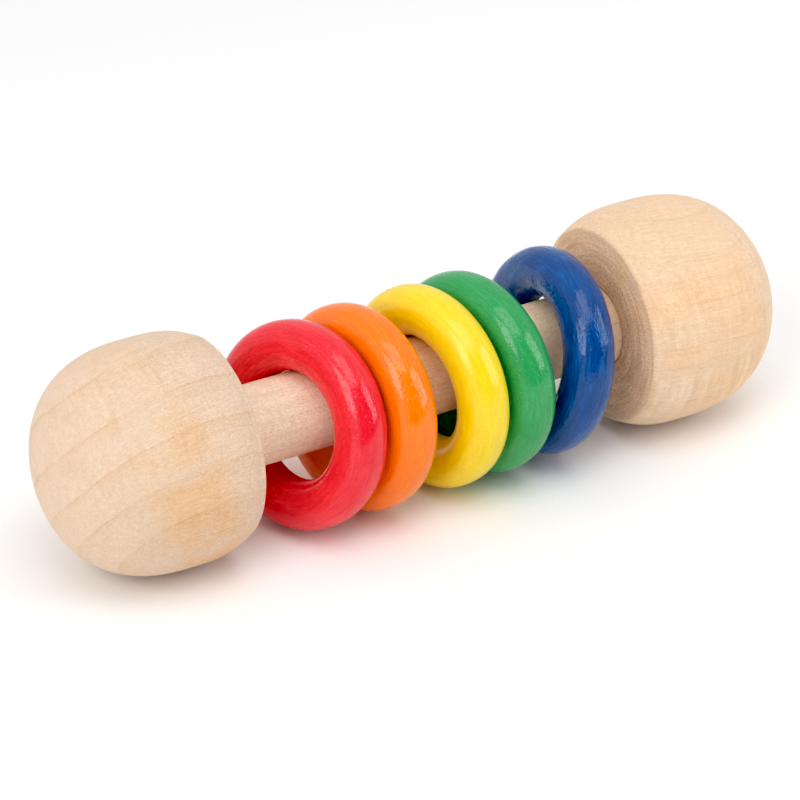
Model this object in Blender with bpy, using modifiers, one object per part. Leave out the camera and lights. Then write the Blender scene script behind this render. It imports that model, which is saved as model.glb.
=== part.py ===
"""Wooden baby rattle: two rounded knobs glued onto a straight dowel, with five loose
lacquered rings that slide and clack between them.

Metres, +Z up. The dowel runs along X. The rattle lies on its two knobs: z = 0 is the
surface under it, and x = y = 0 is its middle.
"""

import math

import bmesh
import bpy

# Knobs: drum-shaped ends whose inner face is flat and whose outer end is a dome
KNOB_DIAMETER = 0.045
KNOB_LENGTH = 0.036
KNOB_WIDEST_FROM_FACE = 0.012
KNOB_FACE_SIDE_RADIUS = 0.0202
KNOB_EDGE_FILLET = 0.0009
DOME_LENGTH_POWER = 2.63
DOME_RADIUS_POWER = 2.15
KNOB_STEPS = 36
FILLET_POINTS = 3
SIDE_POINTS = 6
DOME_POINTS = 10

# Dowel, glued into a blind bore in each knob
DOWEL_DIAMETER = 0.016
DOWEL_EXPOSED_LENGTH = 0.087
TENON_LENGTH = 0.020
DOWEL_CHAMFER = 0.001
DOWEL_STEPS = 32
GLUE_GAP = 0.0003
BORE_END_SPACE = 0.001

# Rings, all alike but for their colour
RING_OUTER_DIAMETER = 0.041
RING_HOLE_DIAMETER = 0.0215
RING_THICKNESS = 0.0097
RING_SECTION_POWER = 2.25
RING_STEPS = 40
RING_SECTION_POINTS = 14
RING_FLOOR_GAP = 0.0003

# Where each ring stands: name, centre x, centre y, lift off the surface (metres),
# then its lean about Y and its swing about Z (degrees)
RING_PLACES = (
    ("red_ring", -0.0259, -0.0014, 0.0, 12.0, 17.0),
    ("orange_ring", -0.0131, -0.0014, 0.0, 5.2, 10.2),
    ("yellow_ring", 0.0031, -0.0015, 0.0, 1.2, 10.2),
    ("green_ring", 0.0136, -0.0012, 0.0, 0.8, 11.4),
    ("blue_ring", 0.0301, -0.0013, 0.0006, 10.8, -2.2),
)

# Linear base colour and roughness of each finish
FINISHES = {
    "bare_wood": ((0.72, 0.52, 0.34), 0.60),
    "dowel_wood": ((0.66, 0.42, 0.28), 0.50),
    "red_ring": ((0.58, 0.010, 0.014), 0.22),
    "orange_ring": ((0.86, 0.13, 0.008), 0.22),
    "yellow_ring": ((0.90, 0.68, 0.010), 0.22),
    "green_ring": ((0.010, 0.27, 0.050), 0.22),
    "blue_ring": ((0.008, 0.055, 0.30), 0.22),
}

COLLECTION_NAME = "baby_rattle"
KNOB_RADIUS = KNOB_DIAMETER / 2
DOWEL_RADIUS = DOWEL_DIAMETER / 2
DOWEL_LENGTH = DOWEL_EXPOSED_LENGTH + 2 * TENON_LENGTH
AXIS_HEIGHT = KNOB_RADIUS
QUARTER_TURN = math.pi / 2
FULL_TURN = 2 * math.pi
SMOOTH_BELOW = math.radians(40)
MERGE_DISTANCE = 0.00001


def clear_scene():
    for obj in list(bpy.data.objects):
        bpy.data.objects.remove(obj, do_unlink=True)


def make_collection(name):
    collection = bpy.data.collections.new(name)
    bpy.context.scene.collection.children.link(collection)
    return collection


def make_material(name):
    colour, roughness = FINISHES[name]
    material = bpy.data.materials.new(name)
    material.use_nodes = True
    shader = material.node_tree.nodes["Principled BSDF"]
    shader.inputs["Base Color"].default_value = (*colour, 1)
    shader.inputs["Roughness"].default_value = roughness
    shader.inputs["Metallic"].default_value = 0
    return material


def shade_round(mesh):
    mesh.shade_smooth()
    mesh.set_sharp_from_angle(angle=SMOOTH_BELOW)


def profile_mesh(name, profile, start_angle, closed):
    """A chain of edges through (radius, height) points, in the half plane at start_angle."""
    chain = bmesh.new()
    corners = []
    for radius, height in profile:
        place = (radius * math.cos(start_angle), radius * math.sin(start_angle), height)
        corners.append(chain.verts.new(place))
    for first, second in zip(corners[:-1], corners[1:]):
        chain.edges.new((first, second))
    if closed:
        chain.edges.new((corners[-1], corners[0]))
    mesh = bpy.data.meshes.new(name)
    chain.to_mesh(mesh)
    chain.free()
    return mesh


def turn(name, profile, steps, collection, start_angle=0.0, closed=False):
    """Turn a profile about its own Z axis into a closed round solid."""
    turned = bpy.data.objects.new(name, profile_mesh(name, profile, start_angle, closed))
    collection.objects.link(turned)
    screw = turned.modifiers.new("turning", "SCREW")
    screw.axis = "Z"
    screw.angle = FULL_TURN
    screw.steps = steps
    screw.render_steps = steps
    screw.use_merge_vertices = True
    screw.merge_threshold = MERGE_DISTANCE

    outline = turned.data
    evaluated = turned.evaluated_get(bpy.context.evaluated_depsgraph_get())
    turned.data = bpy.data.meshes.new_from_object(evaluated)
    turned.data.name = name
    turned.modifiers.clear()
    bpy.data.meshes.remove(outline)
    shade_round(turned.data)
    return turned


def knob_profile():
    """From the tip of the dome, down the outside, over the inner face and up the bore.

    Height is measured from the inner face. A many-sided turning is thinnest across its
    flats, so radii are stretched until the flats are the true diameter apart.
    """
    flats = 1 / math.cos(math.pi / KNOB_STEPS)
    dome_length = KNOB_LENGTH - KNOB_WIDEST_FROM_FACE
    points = []
    for step in range(DOME_POINTS):
        angle = QUARTER_TURN * (1 - step / DOME_POINTS)
        height = dome_length * math.sin(angle) ** (2 / DOME_LENGTH_POWER)
        radius = KNOB_RADIUS * abs(math.cos(angle)) ** (2 / DOME_RADIUS_POWER)
        points.append((0.0 if step == 0 else radius * flats, KNOB_WIDEST_FROM_FACE + height))

    taper = KNOB_RADIUS - KNOB_FACE_SIDE_RADIUS
    side_length = KNOB_WIDEST_FROM_FACE - KNOB_EDGE_FILLET
    for step in range(SIDE_POINTS):
        share = step / SIDE_POINTS
        radius = KNOB_RADIUS - taper * share**3
        points.append((radius * flats, KNOB_WIDEST_FROM_FACE - side_length * share))

    fillet_centre = KNOB_FACE_SIDE_RADIUS - KNOB_EDGE_FILLET
    for step in range(FILLET_POINTS + 1):
        angle = QUARTER_TURN * step / FILLET_POINTS
        radius = fillet_centre + KNOB_EDGE_FILLET * math.cos(angle)
        points.append((radius * flats, KNOB_EDGE_FILLET * (1 - math.sin(angle))))

    bore_radius = (DOWEL_RADIUS + GLUE_GAP) * flats
    bore_depth = TENON_LENGTH + BORE_END_SPACE
    points += [(bore_radius, 0.0), (bore_radius, bore_depth), (0.0, bore_depth)]
    return points


def ring_profile():
    """A ring's cross-section, a rounded square run down its outer side and up its hole."""
    middle = (RING_OUTER_DIAMETER + RING_HOLE_DIAMETER) / 4
    depth = (RING_OUTER_DIAMETER - RING_HOLE_DIAMETER) / 4
    points = []
    for step in range(RING_SECTION_POINTS):
        angle = FULL_TURN * step / RING_SECTION_POINTS
        out = soft_power(math.cos(angle))
        up = soft_power(math.sin(angle))
        points.append((middle + depth * out, -RING_THICKNESS / 2 * up))
    return points


def soft_power(value):
    """The superellipse step that squares a circle's sine or cosine off a little."""
    return math.copysign(abs(value) ** (2 / RING_SECTION_POWER), value)


def ring_reach_down(lean):
    """How far a ring that leans about Y reaches below its own centre."""
    middle = (RING_OUTER_DIAMETER + RING_HOLE_DIAMETER) / 4
    depth = (RING_OUTER_DIAMETER - RING_HOLE_DIAMETER) / 4
    power = RING_SECTION_POWER / (RING_SECTION_POWER - 1)
    across = abs(depth * math.cos(lean)) ** power
    along = abs(RING_THICKNESS / 2 * math.sin(lean)) ** power
    return middle * math.cos(lean) + (across + along) ** (1 / power)


def add_knob(name, side, collection):
    """A knob on the left (side -1) or the right (side +1), resting on one of its flats."""
    half_step = math.pi / KNOB_STEPS
    knob = turn(name, knob_profile(), KNOB_STEPS, collection, start_angle=half_step)
    knob.location = (side * DOWEL_EXPOSED_LENGTH / 2, 0, AXIS_HEIGHT)
    knob.rotation_euler = (0, side * QUARTER_TURN, 0)
    knob.data.materials.append(make_material("bare_wood"))
    return knob


def add_dowel(collection):
    rod = bmesh.new()
    bmesh.ops.create_cone(
        rod,
        cap_ends=True,
        segments=DOWEL_STEPS,
        radius1=DOWEL_RADIUS,
        radius2=DOWEL_RADIUS,
        depth=DOWEL_LENGTH,
    )
    mesh = bpy.data.meshes.new("dowel")
    rod.to_mesh(mesh)
    rod.free()
    shade_round(mesh)
    dowel = bpy.data.objects.new("dowel", mesh)
    collection.objects.link(dowel)
    dowel.location = (0, 0, AXIS_HEIGHT)
    dowel.rotation_euler = (0, QUARTER_TURN, 0)
    chamfer = dowel.modifiers.new("end_chamfer", "BEVEL")
    chamfer.width = DOWEL_CHAMFER
    chamfer.segments = 1
    chamfer.limit_method = "ANGLE"
    chamfer.angle_limit = SMOOTH_BELOW
    mesh.materials.append(make_material("dowel_wood"))
    return dowel


def add_ring(place, collection):
    """A ring standing on the surface, hung on an empty that slides along the dowel's axis."""
    name, x, y, lift, lean_degrees, swing_degrees = place
    lean = math.radians(lean_degrees)
    slider = bpy.data.objects.new(name + "_slide_axis", None)
    slider.location = (x, 0, AXIS_HEIGHT)
    collection.objects.link(slider)

    ring = turn(name, ring_profile(), RING_STEPS, collection, closed=True)
    height = RING_FLOOR_GAP + ring_reach_down(lean) + lift
    ring.parent = slider
    ring.location = (0, y, height - AXIS_HEIGHT)
    ring.rotation_euler = (0, QUARTER_TURN + lean, math.radians(swing_degrees))
    ring.data.materials.append(make_material(name))
    return ring


def main():
    clear_scene()
    collection = make_collection(COLLECTION_NAME)
    add_dowel(collection)
    add_knob("left_knob", -1, collection)
    add_knob("right_knob", 1, collection)
    for place in RING_PLACES:
        add_ring(place, collection)


main()
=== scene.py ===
"""Looks of the wooden baby rattle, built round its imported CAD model.

Every piece is turned afresh at a fine step with the small unevenness of real turned wood:
bare, sanded knobs, a straight dowel, and five rings under a thick coloured lacquer.
Metres, +Z up, dowel along X.
"""

import math

import bpy
import numpy as np
from mathutils import Matrix, Vector, noise


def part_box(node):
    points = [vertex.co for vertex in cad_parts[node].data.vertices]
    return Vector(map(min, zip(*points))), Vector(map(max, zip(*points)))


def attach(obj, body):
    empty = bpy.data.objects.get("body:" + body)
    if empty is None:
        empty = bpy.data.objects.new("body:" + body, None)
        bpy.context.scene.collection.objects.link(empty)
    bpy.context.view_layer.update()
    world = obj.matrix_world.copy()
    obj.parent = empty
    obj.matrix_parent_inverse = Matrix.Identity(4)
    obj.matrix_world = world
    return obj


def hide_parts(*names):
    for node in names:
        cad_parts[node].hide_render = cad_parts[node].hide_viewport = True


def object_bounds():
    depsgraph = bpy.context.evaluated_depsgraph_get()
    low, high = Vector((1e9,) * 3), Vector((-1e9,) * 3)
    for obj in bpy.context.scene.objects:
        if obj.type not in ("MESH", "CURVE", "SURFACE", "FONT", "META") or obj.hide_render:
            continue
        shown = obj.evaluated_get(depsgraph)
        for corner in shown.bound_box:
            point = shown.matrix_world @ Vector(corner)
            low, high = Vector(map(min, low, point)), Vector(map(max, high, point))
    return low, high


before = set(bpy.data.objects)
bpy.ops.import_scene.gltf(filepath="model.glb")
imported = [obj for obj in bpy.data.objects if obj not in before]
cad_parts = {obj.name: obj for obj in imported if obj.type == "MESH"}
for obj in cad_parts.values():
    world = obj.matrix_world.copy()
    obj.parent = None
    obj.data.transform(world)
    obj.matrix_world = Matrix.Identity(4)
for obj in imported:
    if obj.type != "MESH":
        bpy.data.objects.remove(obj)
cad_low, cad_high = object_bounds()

MM = 0.001
FULL_TURN = 2 * math.pi
QUARTER_TURN = math.pi / 2


# ---------------------------------------------------------------- camera, floor and light

CAMERA_AZIMUTH = math.radians(-31.12)
CAMERA_ELEVATION = math.radians(29.03)
CAMERA_DISTANCE = 0.832
CAMERA_LENS = 192.8
CAMERA_AIM_OFFSET = Vector((-0.0026, 0, -0.0039))
CAMERA_CLIP_START = 0.01
SENSOR_WIDTH = 36

FLOOR_SIZE = 30.0
FLOOR_DROP = 0.0001
FLOOR_WHITE = (0.95, 0.95, 0.95, 1)
FLOOR_ROUGHNESS = 0.9
FLOOR_SPECULAR = 0.1

# where the dark mouth of the light tent faces, and where its soft edge starts and ends
TENT_MOUTH_AZIMUTH = math.radians(20)
TENT_MOUTH_ELEVATION = math.radians(5)
TENT_MOUTH_INNER = math.radians(32)
TENT_MOUTH_OUTER = math.radians(68)
TENT_WALL_LIGHT = 0.78
TENT_MOUTH_LIGHT = 0.05
# the light that shows as pure black
BLACK_POINT = 0.015
# name, azimuth and elevation in degrees, distance, width, height and power in watts
SOFTBOXES = (
    ("softbox_left", -60, 34, 0.9, 0.42, 0.56, 2.6),
    ("softbox_right", 52, 24, 0.9, 0.38, 0.58, 2.2),
    ("softbox_above", 0, 70, 0.9, 0.70, 0.54, 2.5),
)


def direction(azimuth, elevation):
    """Unit vector from the object towards a place seen at that azimuth and elevation."""
    level = math.cos(elevation)
    return Vector((math.sin(azimuth) * level, -math.cos(azimuth) * level, math.sin(elevation)))


def aim(obj, place, target):
    """Put an object at a place, with its own -Z pointing at the target."""
    obj.location = place
    obj.rotation_euler = (Vector(place) - Vector(target)).to_track_quat("Z", "Y").to_euler()


def add_camera():
    low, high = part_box("dowel")
    target = (low + high) / 2 + CAMERA_AIM_OFFSET
    data = bpy.data.cameras.new("camera")
    data.lens = CAMERA_LENS
    data.sensor_width = SENSOR_WIDTH
    data.clip_start = CAMERA_CLIP_START
    camera = bpy.data.objects.new("camera", data)
    bpy.context.scene.collection.objects.link(camera)
    place = target + direction(CAMERA_AZIMUTH, CAMERA_ELEVATION) * CAMERA_DISTANCE
    aim(camera, place, target)
    bpy.context.scene.camera = camera


def add_softbox(name, azimuth, elevation, distance, width, height, watts):
    data = bpy.data.lights.new(name, "AREA")
    data.shape = "RECTANGLE"
    data.size = width
    data.size_y = height
    data.energy = watts
    data.color = (1, 1, 1)
    light = bpy.data.objects.new(name, data)
    bpy.context.scene.collection.objects.link(light)
    target = Vector((0, 0, cad_high.z / 2))
    spot = target + direction(math.radians(azimuth), math.radians(elevation)) * distance
    aim(light, spot, target)


def add_studio():
    """A white light tent that is open, and so dark, on the side the camera looks in from."""
    world = bpy.data.worlds.new("light_tent")
    bpy.context.scene.world = world
    world.use_nodes = True
    tree = world.node_tree
    outward = tree.nodes.new("ShaderNodeTexCoord").outputs["Generated"]
    towards = tree.nodes.new("ShaderNodeVectorMath")
    towards.operation = "DOT_PRODUCT"
    towards.inputs[1].default_value = direction(TENT_MOUTH_AZIMUTH, TENT_MOUTH_ELEVATION)
    tree.links.new(outward, towards.inputs[0])
    mouth = tree.nodes.new("ShaderNodeMapRange")
    mouth.interpolation_type = "SMOOTHSTEP"
    for socket, value in (
        ("From Min", math.cos(TENT_MOUTH_OUTER)),
        ("From Max", math.cos(TENT_MOUTH_INNER)),
        ("To Min", TENT_WALL_LIGHT),
        ("To Max", TENT_MOUTH_LIGHT),
    ):
        mouth.inputs[socket].default_value = value
    tree.links.new(towards.outputs["Value"], mouth.inputs["Value"])
    tree.links.new(mouth.outputs["Result"], tree.nodes["Background"].inputs["Strength"])
    tree.nodes["Background"].inputs["Color"].default_value = (1, 1, 1, 1)
    for box in SOFTBOXES:
        add_softbox(*box)
    view = bpy.context.scene.view_settings
    view.view_transform = "Standard"
    view.use_curve_mapping = True
    view.curve_mapping.black_level = (BLACK_POINT, BLACK_POINT, BLACK_POINT)
    view.curve_mapping.update()


def add_floor():
    half = FLOOR_SIZE / 2
    z = -FLOOR_DROP
    mesh = bpy.data.meshes.new("floor")
    corners = [(-half, -half, z), (half, -half, z), (half, half, z), (-half, half, z)]
    mesh.from_pydata(corners, [], [(0, 1, 2, 3)])
    floor = bpy.data.objects.new("floor", mesh)
    bpy.context.scene.collection.objects.link(floor)
    paper = Shader("paper_floor")
    paper.set("Base Color", FLOOR_WHITE)
    paper.set("Roughness", FLOOR_ROUGHNESS)
    paper.set("Specular IOR Level", FLOOR_SPECULAR)
    mesh.materials.append(paper.material)


# ---------------------------------------------------------------- node materials


class Shader:
    """A Principled material built with short calls; each call returns an output socket."""

    def __init__(self, name):
        self.material = bpy.data.materials.new(name)
        self.material.use_nodes = True
        self.tree = self.material.node_tree
        self.surface = self.tree.nodes["Principled BSDF"]

    def set(self, socket, value):
        self.surface.inputs[socket].default_value = value

    def link(self, output, socket):
        self.tree.links.new(output, self.surface.inputs[socket])

    def feed(self, socket, value):
        """Give an input socket a constant or a link."""
        if isinstance(value, bpy.types.NodeSocket):
            self.tree.links.new(value, socket)
        else:
            socket.default_value = value

    def local_mm(self):
        """The point on the surface in the piece's own coordinates, in millimetres."""
        coordinates = self.tree.nodes.new("ShaderNodeTexCoord")
        return self.scale(coordinates.outputs["Object"], 1 / MM)

    def scale(self, vector, factor):
        node = self.tree.nodes.new("ShaderNodeVectorMath")
        node.operation = "SCALE"
        self.feed(node.inputs[0], vector)
        self.feed(node.inputs["Scale"], factor)
        return node.outputs[0]

    def add_vectors(self, first, second):
        node = self.tree.nodes.new("ShaderNodeVectorMath")
        node.operation = "ADD"
        self.feed(node.inputs[0], first)
        self.feed(node.inputs[1], second)
        return node.outputs[0]

    def turn(self, vector, degrees):
        """Rotate a vector by Euler angles, in degrees."""
        node = self.tree.nodes.new("ShaderNodeMapping")
        self.feed(node.inputs["Vector"], vector)
        node.inputs["Rotation"].default_value = [math.radians(a) for a in degrees]
        return node.outputs[0]

    def stretch(self, vector, factors, shift=(0, 0, 0)):
        node = self.tree.nodes.new("ShaderNodeMapping")
        self.feed(node.inputs["Vector"], vector)
        node.inputs["Scale"].default_value = factors
        node.inputs["Location"].default_value = shift
        return node.outputs[0]

    def split(self, vector):
        node = self.tree.nodes.new("ShaderNodeSeparateXYZ")
        self.feed(node.inputs[0], vector)
        return node.outputs[:3]

    def join(self, x, y, z):
        node = self.tree.nodes.new("ShaderNodeCombineXYZ")
        for socket, value in zip(node.inputs, (x, y, z)):
            self.feed(socket, value)
        return node.outputs[0]

    def dot(self, vector, way):
        node = self.tree.nodes.new("ShaderNodeVectorMath")
        node.operation = "DOT_PRODUCT"
        self.feed(node.inputs[0], vector)
        node.inputs[1].default_value = way
        return node.outputs["Value"]

    def math(self, operation, *values, clamp=False):
        node = self.tree.nodes.new("ShaderNodeMath")
        node.operation = operation
        node.use_clamp = clamp
        for socket, value in zip(node.inputs, values):
            self.feed(socket, value)
        return node.outputs[0]

    def times(self, first, second):
        return self.math("MULTIPLY", first, second)

    def plus(self, first, second):
        return self.math("ADD", first, second)

    def swing(self, value, width):
        """Turn a pattern that runs from 0 to 1 into a signed one of this width."""
        return self.math("MULTIPLY_ADD", value, width, -width / 2)

    def noise(self, vector, scale, detail, roughness=0.5, distortion=0.0, w=None):
        node = self.tree.nodes.new("ShaderNodeTexNoise")
        node.noise_dimensions = "3D" if w is None else "4D"
        self.feed(node.inputs["Vector"], vector)
        if w is not None:
            self.feed(node.inputs["W"], w)
        node.inputs["Scale"].default_value = scale
        node.inputs["Detail"].default_value = detail
        node.inputs["Roughness"].default_value = roughness
        node.inputs["Distortion"].default_value = distortion
        return node.outputs[0]

    def ramp(self, value, *stops, smooth=True):
        """Map a value through (position, level) stops to a level."""
        node = self.tree.nodes.new("ShaderNodeValToRGB")
        self.feed(node.inputs[0], value)
        ramp = node.color_ramp
        ramp.interpolation = "EASE" if smooth else "LINEAR"
        while len(ramp.elements) < len(stops):
            ramp.elements.new(1.0)
        for element, (position, level) in zip(ramp.elements, stops):
            element.position = position
            element.color = (level, level, level, 1)
        return node.outputs[0]

    def mix(self, factor, first, second, blend="MIX"):
        node = self.tree.nodes.new("ShaderNodeMix")
        node.data_type = "RGBA"
        node.blend_type = blend
        self.feed(node.inputs[0], factor)
        for socket, value in ((node.inputs[6], first), (node.inputs[7], second)):
            self.feed(socket, value)
        return node.outputs[2]

    def tint(self, share, colour, multiplier):
        """Multiply a colour by another, as far as the share says."""
        return self.mix(share, colour, multiplier, "MULTIPLY")

    def bump(self, height, distance, strength=1.0, under=None):
        node = self.tree.nodes.new("ShaderNodeBump")
        node.inputs["Strength"].default_value = strength
        node.inputs["Distance"].default_value = distance
        self.feed(node.inputs["Height"], height)
        if under is not None:
            self.tree.links.new(under, node.inputs["Normal"])
        return node.outputs[0]


def rgb(red, green, blue):
    return (red, green, blue, 1.0)


def around(shader, here, turns, across):
    """Coordinates that run round the X axis: turns is how often the pattern changes in a
    radian, across how often in a millimetre of X; returns them with the distance from X."""
    x, y, z = shader.split(here)
    radius = shader.math("SQRT", shader.plus(shader.times(y, y), shader.times(z, z)))
    round_y = shader.times(shader.math("DIVIDE", y, radius), turns)
    round_z = shader.times(shader.math("DIVIDE", z, radius), turns)
    return shader.join(round_y, round_z, shader.times(x, across)), radius


# factors that turn millimetres into shares for a ramp: of a radius, a height, the way along a
# knob from its inner face, and the thin layer under that face
RADIUS_SHARE = 0.04
HEIGHT_SHARE = 0.025
LENGTH_SHARE = 0.04
FACE_LAYER_SHARE = 0.4

# the level of a pattern that leaves the wood's colour as it is
MID_GREY = rgb(0.5, 0.5, 0.5)

# how far the light and dark of the grain swing in red, green and blue
GRAIN_TINT = (0.80, 1.25, 1.65)
STREAK_SPREAD = 0.070
FUZZ_SPREAD = 0.22
NAP_SPREAD = 0.025
STROKE_SPREAD = 0.050
PORE_SPREAD = 0.38
YEAR_LINE_STRENGTH = 0.55
FLECK_STRENGTH = 0.14

WARM_BAND_LEAN = 0.3
# tone of a knob's inner face: the end grain's own browner colour together with painted shade from
# the ring beside it
END_GRAIN_SHADE_DARK = rgb(0.91, 0.77, 0.66)
END_GRAIN_SHADE_PALE = rgb(1.25, 1.15, 1.12)

# how high the wood's streaks and raised fuzz stand
STREAK_RELIEF = 0.05 * MM
FUZZ_RELIEF = 0.10 * MM
WOOD_SPECULAR = 0.25
WOOD_SHEEN = 0.12
WOOD_SHEEN_ROUGHNESS = 0.5


def grain_tone(wood, pattern, spread):
    """Multiplier that darkens wood towards brown where a pattern is low and pales it where high."""
    share = wood.ramp(pattern, (0.3, 0.0), (0.7, 1.0), smooth=False)
    dark = rgb(*(1 - tint * spread for tint in GRAIN_TINT))
    pale = rgb(*(1 + tint * spread for tint in GRAIN_TINT))
    return wood.mix(share, dark, pale)


def year_lines(wood, fibre, growth, seed):
    """The dark lines that the tree's years end in, 1 at their darkest."""
    _, layer, widening, first = growth
    drift = wood.noise(wood.stretch(fibre, (0.03, 0.05, 0.05), (seed, 0, 0)), 1.0, 1.0)
    wave = wood.noise(wood.stretch(fibre, (0.07, 0.16, 0.16), (seed, 2, 0)), 1.0, 1.0)
    depth = wood.plus(wood.split(fibre)[2], wood.swing(drift, 3.0))
    depth = wood.plus(depth, wood.swing(wave, 0.9))
    widened = wood.math("SUBTRACT", 1.0, wood.math("DIVIDE", depth, widening))
    year = wood.times(wood.math("DIVIDE", depth, layer), widened)
    season = wood.math("FRACT", wood.plus(year, first))
    late = wood.ramp(
        season, (0.0, 0.0), (0.40, 0.0), (0.80, 0.28), (0.90, 0.5), (0.955, 0.85), (1.0, 0.0)
    )
    uneven = wood.noise(wood.stretch(fibre, (0.06, 0.15, 0.3), (seed, 5, 0)), 1.0, 2.0)
    return wood.times(late, wood.ramp(uneven, (0.30, 0.35), (0.62, 1.0)))


def warm_blotches_and_bounce(wood, here, fibre, height, band, evenness, seed):
    """Warm blotches inside a leaning band along X, fading towards the top of the piece; on the
    dowel, made nearly even, they are painted warm bounce light from the rings.
    """
    patch = wood.noise(wood.stretch(fibre, (0.05, 0.12, 0.12), (seed, seed, 0)), 1.0, 3.0, 0.55)
    patch = wood.ramp(patch, (0.32, evenness), (0.56, 1.0))
    leaning = wood.dot(here, (1, 0, WARM_BAND_LEAN))
    inside = wood.math(
        "MINIMUM",
        wood.math("SUBTRACT", leaning, band[0]),
        wood.math("SUBTRACT", band[1], leaning),
    )
    inside = wood.ramp(wood.math("MULTIPLY_ADD", inside, 0.1, 0.5), (0.2, 0.1), (0.85, 1.0))
    top_fade = wood.ramp(height, (0.80, 1.0), (0.97, 0.35))
    return wood.times(wood.times(patch, inside), top_fade)


def end_grain_and_painted_shade(wood, here, colour, face_side):
    """The colour with cross-cut grain on a knob's inner face: partly the end grain's own browner
    tone, partly painted shade from the ring beside it, weaker towards its rim.
    """
    mark_at, radius = around(wood, here, 1.6, 0.0)
    depth = wood.times(wood.split(here)[0], FACE_LAYER_SHARE * face_side)
    # painted shade: the face's tone is full in the middle, where the ring beside it shades it, and
    # eases towards the rim
    painted_shade_fade = wood.ramp(wood.times(radius, RADIUS_SHARE), (0.62, 1.0), (0.78, 0.55))
    cut = wood.times(wood.ramp(depth, (0.02, 1.0), (0.16, 0.0)), painted_shade_fade)
    mark = wood.noise(mark_at, 1.0, 3.0, 0.7, w=wood.times(radius, 1.3))
    pore = wood.noise(here, 3.2, 2.0, 0.8)
    tone = wood.mix(wood.ramp(mark, (0.3, 0.0), (0.7, 1.0)), END_GRAIN_SHADE_DARK, END_GRAIN_SHADE_PALE)
    tone = wood.tint(1.0, tone, grain_tone(wood, pore, PORE_SPREAD))
    return wood.mix(cut, colour, wood.tint(1.0, colour, tone))


def bare_wood(name, tones, growth, seed, warm_band, warmth, figure=1.0, face_side=0,
              nap_strength=1.0, evenness=0.0, chatter=0.0):
    """Pale, sanded, unfinished hardwood whose fibres run nearly along the piece's X axis.

    tones: pale ground, late-wood line and warm blotch colours; growth: the direction that
    the tree's yearly layers are stacked in, their width and how fast it widens, both in mm,
    and where the first line falls; warm_band: the stretch along X, in mm, that turning has
    burnished warm on a knob, and that is tinted with painted warm bounce light from the
    rings on the dowel, and warmth how strongly; figure: how strongly the yearly lines show;
    face_side: the way along X that a knob stands out from its cross-cut inner face, whose
    end-grain tone carries painted shade, or 0 for a piece with none; nap_strength: how strong
    the raised fuzz is; evenness: the least share of the warm colour between its blotches;
    chatter: the strength of the crosswise marks that the tool left round the lower side.
    """
    ground, line, warm = tones
    outward = Vector(growth[0]).normalized()
    grain_way = (Vector((1, 0, 0)) - outward * outward.x).normalized()
    side_way = outward.cross(grain_way)
    wood = Shader(name)
    here = wood.local_mm()
    x, _, z = wood.split(here)
    height = wood.math("MULTIPLY_ADD", z, HEIGHT_SHARE, 0.5)
    fibre = wood.join(*(wood.dot(here, way) for way in (grain_way, side_way, outward)))

    streak = wood.noise(wood.stretch(fibre, (0.14, 1.8, 3.6), (0, seed, 0)), 1.0, 4.0, 0.6)
    fleck = wood.noise(wood.stretch(fibre, (0.45, 4.0, 6.0), (0, 0, seed)), 1.0, 2.0, 0.5)
    fleck = wood.ramp(fleck, (0.62, 0.0), (0.76, 1.0))
    fuzz = wood.noise(wood.stretch(fibre, (2.0, 3.6, 3.6)), 1.0, 3.0, 0.8, 1.4)
    if face_side:
        raised = wood.ramp(wood.times(x, LENGTH_SHARE * face_side), (0.35, 1.0), (1.0, 0.45))
        fuzz = wood.mix(raised, MID_GREY, fuzz)
    nap = wood.noise(here, 0.9, 2.0, 0.6)
    stroke = wood.noise(around(wood, here, 2.5, 0.9)[0], 1.0, 2.0, 0.6)
    stroked = wood.ramp(wood.noise(here, 0.06, 1.0), (0.48, 0.25), (0.62, 1.0))
    stroke = wood.mix(stroked, MID_GREY, stroke)
    patterns = [
        (streak, STREAK_SPREAD),
        (fuzz, FUZZ_SPREAD * nap_strength),
        (nap, NAP_SPREAD),
        (stroke, STROKE_SPREAD),
    ]
    if chatter:
        marked = wood.ramp(height, (0.14, 0.3), (0.24, 1.0), (0.38, 1.0), (0.47, 0.0))
        mark = wood.noise(around(wood, here, 1.6, 0.55)[0], 1.0, 2.0, 0.6)
        patterns.append((wood.mix(marked, MID_GREY, mark), chatter))

    late = year_lines(wood, fibre, growth, seed)
    patch = warm_blotches_and_bounce(wood, here, fibre, height, warm_band, evenness, seed)
    colour = wood.mix(wood.times(late, YEAR_LINE_STRENGTH * figure), ground, line)
    colour = wood.tint(wood.times(patch, warmth), colour, warm)
    for pattern, spread in patterns:
        colour = wood.tint(1.0, colour, grain_tone(wood, pattern, spread))
    colour = wood.tint(wood.times(fleck, FLECK_STRENGTH), colour, line)
    if face_side:
        colour = end_grain_and_painted_shade(wood, here, colour, face_side)
    wood.link(colour, "Base Color")

    wood.set("Specular IOR Level", WOOD_SPECULAR)
    wood.set("Sheen Weight", WOOD_SHEEN)
    wood.set("Sheen Roughness", WOOD_SHEEN_ROUGHNESS)
    wood.link(wood.ramp(streak, (0.2, 0.58), (0.8, 0.74), smooth=False), "Roughness")
    relief = wood.math("MULTIPLY_ADD", fuzz, 1.0, wood.times(stroke, 0.5))
    normal = wood.bump(streak, STREAK_RELIEF, 0.5)
    wood.link(wood.bump(relief, FUZZ_RELIEF, 0.8, under=normal), "Normal")
    return wood.material


# how high the lacquer's brushed ridges, orange peel, pores and runs stand
RIDGE_RELIEF = 0.04 * MM
PEEL_RELIEF = 0.010 * MM
PORE_RELIEF = 0.018 * MM
RUN_RELIEF = 0.12 * MM
# degrees that a ring's wood grain is turned for each unit of its seed
GRAIN_TURN = 37.0
SCUFF_COLOUR = rgb(0.40, 0.45, 0.52)
SCUFF_STRENGTH = 0.25
LACQUER_ROUGHNESS = 0.6
COAT_IOR = 1.5


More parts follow.
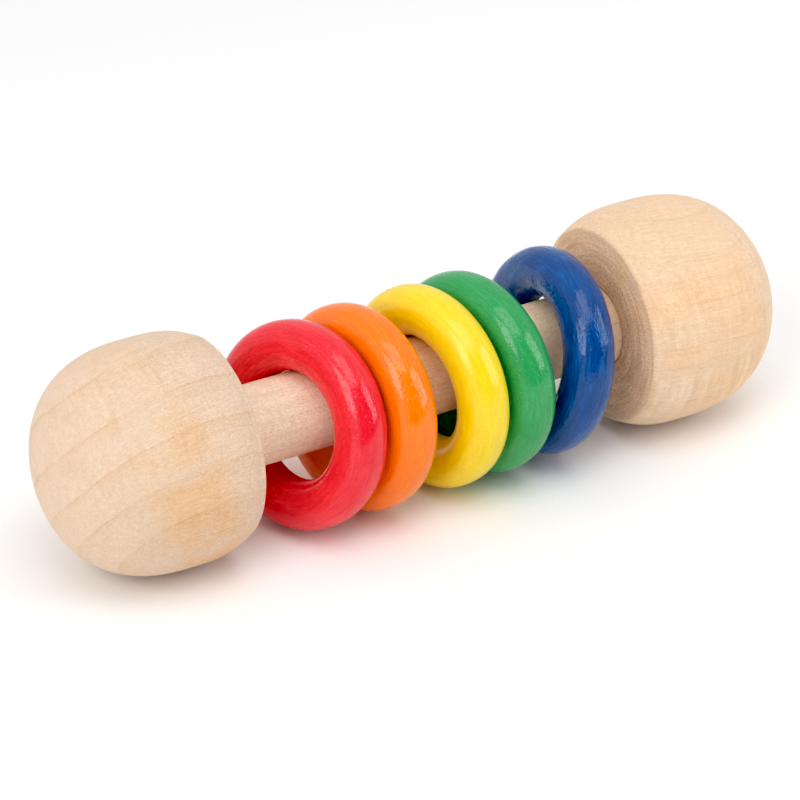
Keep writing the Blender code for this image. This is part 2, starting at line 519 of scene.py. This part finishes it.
def lacquer(name, thick, thin, seed, spin, grain_depth=1.0, brushing=1.0, lean_share=0.5,
            wrinkling=0.0, coat_roughness=0.12):
    """Glossy coloured lacquer brushed over a turned wooden ring whose axis is local X.

    thick and thin are the colour where the coat is heavy and where it is worn or lean;
    spin is how far round its axis the ring has rolled, in degrees;
    grain_depth scales how far the wood's pores show through the gloss, brushing the ridges
    that run round the ring, lean_share how much of the ring shows the lean colour,
    wrinkling the runs and the scuffed hole edge of a coat put on too heavily, and
    coat_roughness how soft the gloss is.
    """
    coat = Shader(name)
    here = coat.turn(coat.local_mm(), (-spin, 0, 0))
    at, radius = around(coat, here, 4.0, 1.8)
    at = coat.add_vectors(at, (0, 0, seed))
    brush = coat.noise(at, 1.0, 4.0, 0.6, w=coat.times(radius, 1.8))
    ridge = coat.noise(at, 0.7, 1.0, 0.5, w=coat.times(radius, 1.3))

    grain_at = coat.turn(here, (seed * GRAIN_TURN, 0, 0))
    grain = coat.noise(coat.stretch(grain_at, (3.2, 0.45, 3.2), (0, seed, 0)), 1.0, 3.0, 0.7)
    pool = coat.noise(here, 0.16, 2.0, 0.5)
    pore = coat.noise(coat.stretch(grain_at, (2.3, 1.3, 2.3), (0, seed, 0)), 1.0, 0.0)
    pore = coat.ramp(pore, (0.60, 1.0), (0.76, 0.0))
    peel = coat.noise(here, 2.0, 2.0, 0.6)

    lean = coat.ramp(brush, (0.35, 0.0), (0.72, 1.0))
    lean = coat.plus(lean, coat.math("MULTIPLY_ADD", grain, 0.8, -0.3))
    lean = coat.times(lean, coat.ramp(pool, (0.3, 0.3), (0.7, 1.0)))
    lean = coat.math("MULTIPLY", lean, 2 * lean_share, clamp=True)
    colour = coat.mix(lean, thick, thin)
    for pattern, dark, pale in (
        (grain, 0.91, 1.06),
        (brush, 1 - 0.035 * brushing, 1 + 0.03 * brushing),
    ):
        shade = coat.ramp(pattern, (0.3, dark), (0.7, pale), smooth=False)
        colour = coat.tint(1.0, colour, shade)
    normal = coat.bump(ridge, RIDGE_RELIEF * brushing)
    normal = coat.bump(peel, PEEL_RELIEF, under=normal)
    normal = coat.bump(pore, PORE_RELIEF * grain_depth, under=normal)
    radius_share = coat.times(radius, RADIUS_SHARE)
    if wrinkling:
        run_at, _ = around(coat, here, 2.6, 0.55)
        run = coat.noise(run_at, 1.0, 3.5, 0.6, 0.9, w=coat.times(radius, 0.35))
        run = coat.ramp(run, (0.42, 0.0), (0.56, 1.0))
        normal = coat.bump(run, RUN_RELIEF * wrinkling, 0.8, under=normal)
        scuff = coat.ramp(coat.noise(here, 1.5, 3.0, 0.7), (0.54, 0.0), (0.70, 1.0))
        scuff = coat.times(scuff, coat.ramp(radius_share, (0.44, 1.0), (0.50, 0.0)))
        colour = coat.mix(coat.times(scuff, SCUFF_STRENGTH), colour, SCUFF_COLOUR)
    coat.link(colour, "Base Color")

    coat.set("Roughness", LACQUER_ROUGHNESS)
    coat.set("Specular IOR Level", 0.0)
    coat.link(coat.ramp(radius_share, (0.44, 0.2), (0.50, 1.0)), "Coat Weight")
    coat.set("Coat Roughness", coat_roughness)
    coat.set("Coat IOR", COAT_IOR)
    coat.link(normal, "Normal")
    coat.link(normal, "Coat Normal")
    return coat.material


# ---------------------------------------------------------------- mesh building

SEED_SKEW = 1.7
WAVE_SEED_STEP = 13
TINY = 1e-12


def grid_mesh(name, points, wrap_rows):
    """A closed mesh from a rows x columns x 3 grid whose columns run round.

    With wrap_rows the rows join up too, as on a ring; without it the first and the last
    row are closed by a fan to their own middle.
    """
    rows, columns = points.shape[:2]
    vertices = points.reshape(-1, 3).tolist()
    faces = []
    for row in range(rows if wrap_rows else rows - 1):
        below = (row + 1) % rows
        for column in range(columns):
            right = (column + 1) % columns
            faces.append(
                (
                    row * columns + column,
                    below * columns + column,
                    below * columns + right,
                    row * columns + right,
                )
            )
    if not wrap_rows:
        for row in (0, rows - 1):
            middle = len(vertices)
            vertices.append(points[row].mean(axis=0).tolist())
            for column in range(columns):
                right = (column + 1) % columns
                edge = (row * columns + column, row * columns + right)
                faces.append((middle, *edge) if row == 0 else (middle, *reversed(edge)))
    mesh = bpy.data.meshes.new(name)
    mesh.from_pydata(vertices, [], faces)
    mesh.shade_smooth()
    return mesh


def add_piece(name, mesh, place, rotation, material, body, node):
    """Stand a mesh at its place on a body, as the look of a CAD node and a named slot."""
    piece = bpy.data.objects.new(name, mesh)
    bpy.context.scene.collection.objects.link(piece)
    piece.matrix_world = Matrix.Translation(place) @ rotation.to_4x4()
    mesh.materials.append(material)
    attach(piece, body)
    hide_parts(node)


def soft_noise(point, scale, seed):
    """Smooth signed noise of a point in metres, with features about scale metres long."""
    return noise.noise(Vector(point) / scale + Vector((seed, seed * SEED_SKEW, -seed)))


def roughen(points, normals, waves, seed):
    """Move a grid's points along their normals by layers of (size, height) noise waves."""
    flat = points.reshape(-1, 3)
    push = np.zeros(len(flat))
    for number, (size, height) in enumerate(waves):
        wave_seed = seed + WAVE_SEED_STEP * number
        push += height * np.array([soft_noise(point, size, wave_seed) for point in flat])
    return points + normals * push.reshape(points.shape[:2] + (1,))


def sweep(distances, radii, angles):
    """Grid of points at these distances along X and radii from it, at each angle round it."""
    circle = np.stack([np.cos(angles), np.sin(angles)], axis=-1)
    along = np.broadcast_to(distances[:, None, None], (len(distances), len(angles), 1))
    return np.concatenate([along, radii[:, None, None] * circle[None]], axis=2)


# ---------------------------------------------------------------- knobs and dowel

KNOB_WIDEST_SHARE = 1 / 3
KNOB_FACE_TAPER = 2.3 * MM
KNOB_FILLET = 0.9 * MM
DOME_LENGTH_POWER = 2.63
DOME_RADIUS_POWER = 2.15
BORE_CLEARANCE = 0.12 * MM
BORE_DEPTH = 22 * MM
BORE_CHAMFER = 0.35 * MM
TURNING_MARK_DEPTH = 0.035 * MM
TURNING_MARKS = 5
DOME_STEPS = 90
SIDE_STEPS = 24
FILLET_STEPS = 12
FACE_STEPS = 32
KNOB_COLUMNS = 288
KNOB_SEED = 3.0
DOWEL_CHAMFER = 1.0 * MM
DOWEL_ROWS = 220
DOWEL_COLUMNS = 144
DOWEL_SEED = 8.0
# radii of the first rows next to the axis, which a fan closes
DOME_TIP_RADIUS = 0.02 * MM
DOWEL_END_RADIUS = 0.1 * MM
KNOB_WAVES = ((18 * MM, 0.10 * MM), (4 * MM, 0.020 * MM))
DOWEL_WAVES = ((20 * MM, 0.05 * MM), (3 * MM, 0.010 * MM))


def knob_outline(radius, length, dowel_radius):
    """Points (distance from the inner face, radius) from the dome's tip round to the bore."""
    widest = length * KNOB_WIDEST_SHARE
    outline = []
    for step in range(DOME_STEPS):
        angle = QUARTER_TURN * (1 - step / DOME_STEPS)
        far = widest + (length - widest) * math.sin(angle) ** (2 / DOME_LENGTH_POWER)
        wide = radius * max(math.cos(angle), 0.0) ** (2 / DOME_RADIUS_POWER)
        outline.append((far, max(wide, DOME_TIP_RADIUS)))
    for step in range(SIDE_STEPS):
        share = step / SIDE_STEPS
        far = widest - (widest - KNOB_FILLET) * share
        outline.append((far, radius - KNOB_FACE_TAPER * share**3))
    fillet_middle = radius - KNOB_FACE_TAPER - KNOB_FILLET
    for step in range(FILLET_STEPS + 1):
        angle = QUARTER_TURN * step / FILLET_STEPS
        far = KNOB_FILLET * (1 - math.sin(angle))
        outline.append((far, fillet_middle + KNOB_FILLET * math.cos(angle)))
    mouth = dowel_radius + BORE_CLEARANCE + BORE_CHAMFER
    for step in range(1, FACE_STEPS + 1):
        share = step / FACE_STEPS
        outline.append((turning_mark(share), fillet_middle + (mouth - fillet_middle) * share))
    outline.append((BORE_CHAMFER, mouth - BORE_CHAMFER))
    outline.append((BORE_DEPTH, mouth - BORE_CHAMFER))
    return outline


def turning_mark(share):
    """Depth of the shallow rings that the turning tool leaves on a knob's inner face."""
    return TURNING_MARK_DEPTH * (0.5 - 0.5 * math.cos(FULL_TURN * TURNING_MARKS * share))


def turned_grid(outline, columns, side):
    """Sweep (distance, radius) points about the X axis; returns points and outward normals."""
    outline = np.array(outline)
    angles = np.linspace(0, FULL_TURN, columns, endpoint=False)
    tangent = np.gradient(outline, axis=0)
    tangent /= np.linalg.norm(tangent, axis=1)[:, None] + TINY
    angles = angles * -side
    points = sweep(side * outline[:, 0], outline[:, 1], angles)
    return points, sweep(side * tangent[:, 1], -tangent[:, 0], angles)


def add_knob(node, side, material):
    """Add the knob whose dome points along X by side, which is 1 or -1."""
    low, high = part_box(node)
    radius = (high.z - low.z) / 2
    length = high.x - low.x
    face = low.x if side > 0 else high.x
    bar_low, bar_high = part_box("dowel")
    outline = knob_outline(radius, length, (bar_high.z - bar_low.z) / 2)
    points, normals = turned_grid(outline, KNOB_COLUMNS, side)
    points = roughen(points, normals, KNOB_WAVES, KNOB_SEED + side)
    name = node + "_turned"
    mesh = grid_mesh(name, points, wrap_rows=False)
    place = Vector((face, 0, (low.z + high.z) / 2))
    add_piece(name, mesh, place, Matrix.Identity(3), material, "handle", node)


def add_dowel(material):
    low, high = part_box("dowel")
    radius = (high.z - low.z) / 2
    half = (high.x - low.x) / 2
    straight = half - DOWEL_CHAMFER
    outline = [(half, DOWEL_END_RADIUS), (half, radius - DOWEL_CHAMFER)]
    for row in range(DOWEL_ROWS + 1):
        outline.append((straight - 2 * straight * row / DOWEL_ROWS, radius))
    outline += [(-half, radius - DOWEL_CHAMFER), (-half, DOWEL_END_RADIUS)]
    points, normals = turned_grid(outline, DOWEL_COLUMNS, 1)
    points = roughen(points, normals, DOWEL_WAVES, DOWEL_SEED)
    name = "dowel_bar"
    mesh = grid_mesh(name, points, wrap_rows=False)
    place = (low + high) / 2
    add_piece(name, mesh, place, Matrix.Identity(3), material, "handle", "dowel")


# ---------------------------------------------------------------- rings

RING_OUTER_RADIUS = 20.5 * MM
RING_HOLE_RADIUS = 10.75 * MM
RING_THICKNESS = 9.7 * MM
RING_SECTION_POWER = 2.25
RING_COLUMNS = 288
RING_ROWS = 72


def ring_frame(node):
    """Centre and axis of a ring, read from its CAD mesh: the axis is its thinnest way."""
    low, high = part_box(node)
    corners = np.array([v.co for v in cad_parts[node].data.vertices])
    spread = np.cov((corners - corners.mean(axis=0)).T)
    axis = Vector(np.linalg.eigh(spread)[1][:, 0])
    if axis.x < 0:
        axis.negate()
    return (low + high) / 2, axis


def squared(value):
    """A sine or cosine pushed outwards, which squares the round section a little."""
    return math.copysign(abs(value) ** (2 / RING_SECTION_POWER), value)


def ring_grid():
    """Points and outward normals of a ring about X: rows go round its section."""
    middle = (RING_OUTER_RADIUS + RING_HOLE_RADIUS) / 2
    depth = (RING_OUTER_RADIUS - RING_HOLE_RADIUS) / 2
    section = []
    for row in range(RING_ROWS):
        angle = FULL_TURN * row / RING_ROWS
        far = RING_THICKNESS / 2 * squared(math.sin(angle))
        section.append((far, middle + depth * squared(math.cos(angle))))
    section = np.array(section)
    tangent = np.roll(section, -1, axis=0) - np.roll(section, 1, axis=0)
    tangent /= np.linalg.norm(tangent, axis=1)[:, None]
    angles = np.linspace(0, FULL_TURN, RING_COLUMNS, endpoint=False)
    points = sweep(section[:, 0], section[:, 1], angles)
    return points, sweep(-tangent[:, 1], tangent[:, 0], angles)


def add_ring(colour, seed, spin, waves, material):
    """Add a ring rolled round by spin degrees. The roll is in the mesh, not in the object, so
    that the object's own box stays close round it."""
    node = colour + "_ring"
    name = node + "_lacquered"
    centre, axis = ring_frame(node)
    points, normals = ring_grid()
    points = roughen(points, normals, waves, seed)
    points = points @ np.array(Matrix.Rotation(math.radians(spin), 3, "X")).T
    mesh = grid_mesh(name, points, wrap_rows=True)
    lean = Vector((1, 0, 0)).rotation_difference(axis).to_matrix()
    add_piece(name, mesh, centre, lean, material, node, node)


# ---------------------------------------------------------------- the rattle

add_camera()
add_studio()
add_floor()

# ground, late-wood line and warm blotch colours of the three bare pieces; the dowel's warm colour
# is painted warm bounce light from the rings
left_tones = (rgb(0.75, 0.56, 0.41), rgb(0.64, 0.38, 0.20), rgb(1.03, 0.87, 0.665))
right_tones = (rgb(0.83, 0.60, 0.41), rgb(0.66, 0.41, 0.23), rgb(1.03, 0.90, 0.70))
bar_tones = (rgb(0.92, 0.765, 0.585), rgb(0.66, 0.42, 0.26), rgb(1.10, 0.95, 0.84))
# way the yearly layers are stacked, their width and widening in mm, and the first line
left_growth = ((-0.10, 0.72, 0.68), 7.8, 123, 0.22)
right_growth = ((0.08, 0.19, 0.98), 4.2, 400, 0.13)
bar_growth = ((0.01, 0.6, 0.8), 2.6, 400, 0.3)

left_wood = bare_wood(
    "left_knob_wood", left_tones, left_growth, seed=4.0, warm_band=(-23, -8), warmth=0.9,
    face_side=-1,
)
right_wood = bare_wood(
    "right_knob_wood", right_tones, right_growth, seed=9.0, warm_band=(2, 30), warmth=0.55,
    figure=0.5, face_side=1, nap_strength=0.6, chatter=0.10,
)
# the dowel's warm band, nearly even from 12 mm left of its middle to its right end, is painted warm
# bounce light from the rings it runs through
bar_wood = bare_wood(
    "dowel_wood", bar_tones, bar_growth, seed=17.0, warm_band=(-12, 200), warmth=1.0,
    figure=0.5, nap_strength=1.15, evenness=0.8,
)
add_knob("left_knob", -1, left_wood)
add_knob("right_knob", 1, right_wood)
add_dowel(bar_wood)

# length and height of each layer of waves in the lacquered surface
THIN_COAT_WAVES = ((9 * MM, 0.035 * MM), (2.5 * MM, 0.010 * MM))
HEAVY_COAT_WAVES = ((9 * MM, 0.09 * MM), (2.8 * MM, 0.07 * MM), (1.2 * MM, 0.014 * MM))

# colour, heavy coat, lean coat, seed, roll in degrees, surface waves and finish of each ring
RINGS = (
    ("red", rgb(0.80, 0.016, 0.032), rgb(0.90, 0.043, 0.058), 2.0, 20, THIN_COAT_WAVES,
     {"grain_depth": 1.9}),
    ("orange", rgb(0.95, 0.190, 0.005), rgb(1.0, 0.245, 0.012), 5.0, 75, THIN_COAT_WAVES,
     {"grain_depth": 1.7}),
    ("yellow", rgb(0.92, 0.67, 0.016), rgb(0.94, 0.71, 0.034), 7.0, 130, THIN_COAT_WAVES,
     {"grain_depth": 0.7, "coat_roughness": 0.20}),
    ("green", rgb(0.022, 0.325, 0.083), rgb(0.055, 0.375, 0.122), 11.0, 200, THIN_COAT_WAVES,
     {"grain_depth": 1.9}),
    ("blue", rgb(0.0, 0.048, 0.21), rgb(0.0, 0.110, 0.40), 13.0, 260, HEAVY_COAT_WAVES,
     {"brushing": 1.3, "lean_share": 0.45, "wrinkling": 0.6, "coat_roughness": 0.07}),
)
for colour, thick, thin, seed, spin, waves, finish in RINGS:
    lacquered = lacquer(colour + "_lacquer", thick, thin, seed, spin, **finish)
    add_ring(colour, seed, spin, waves, lacquered)
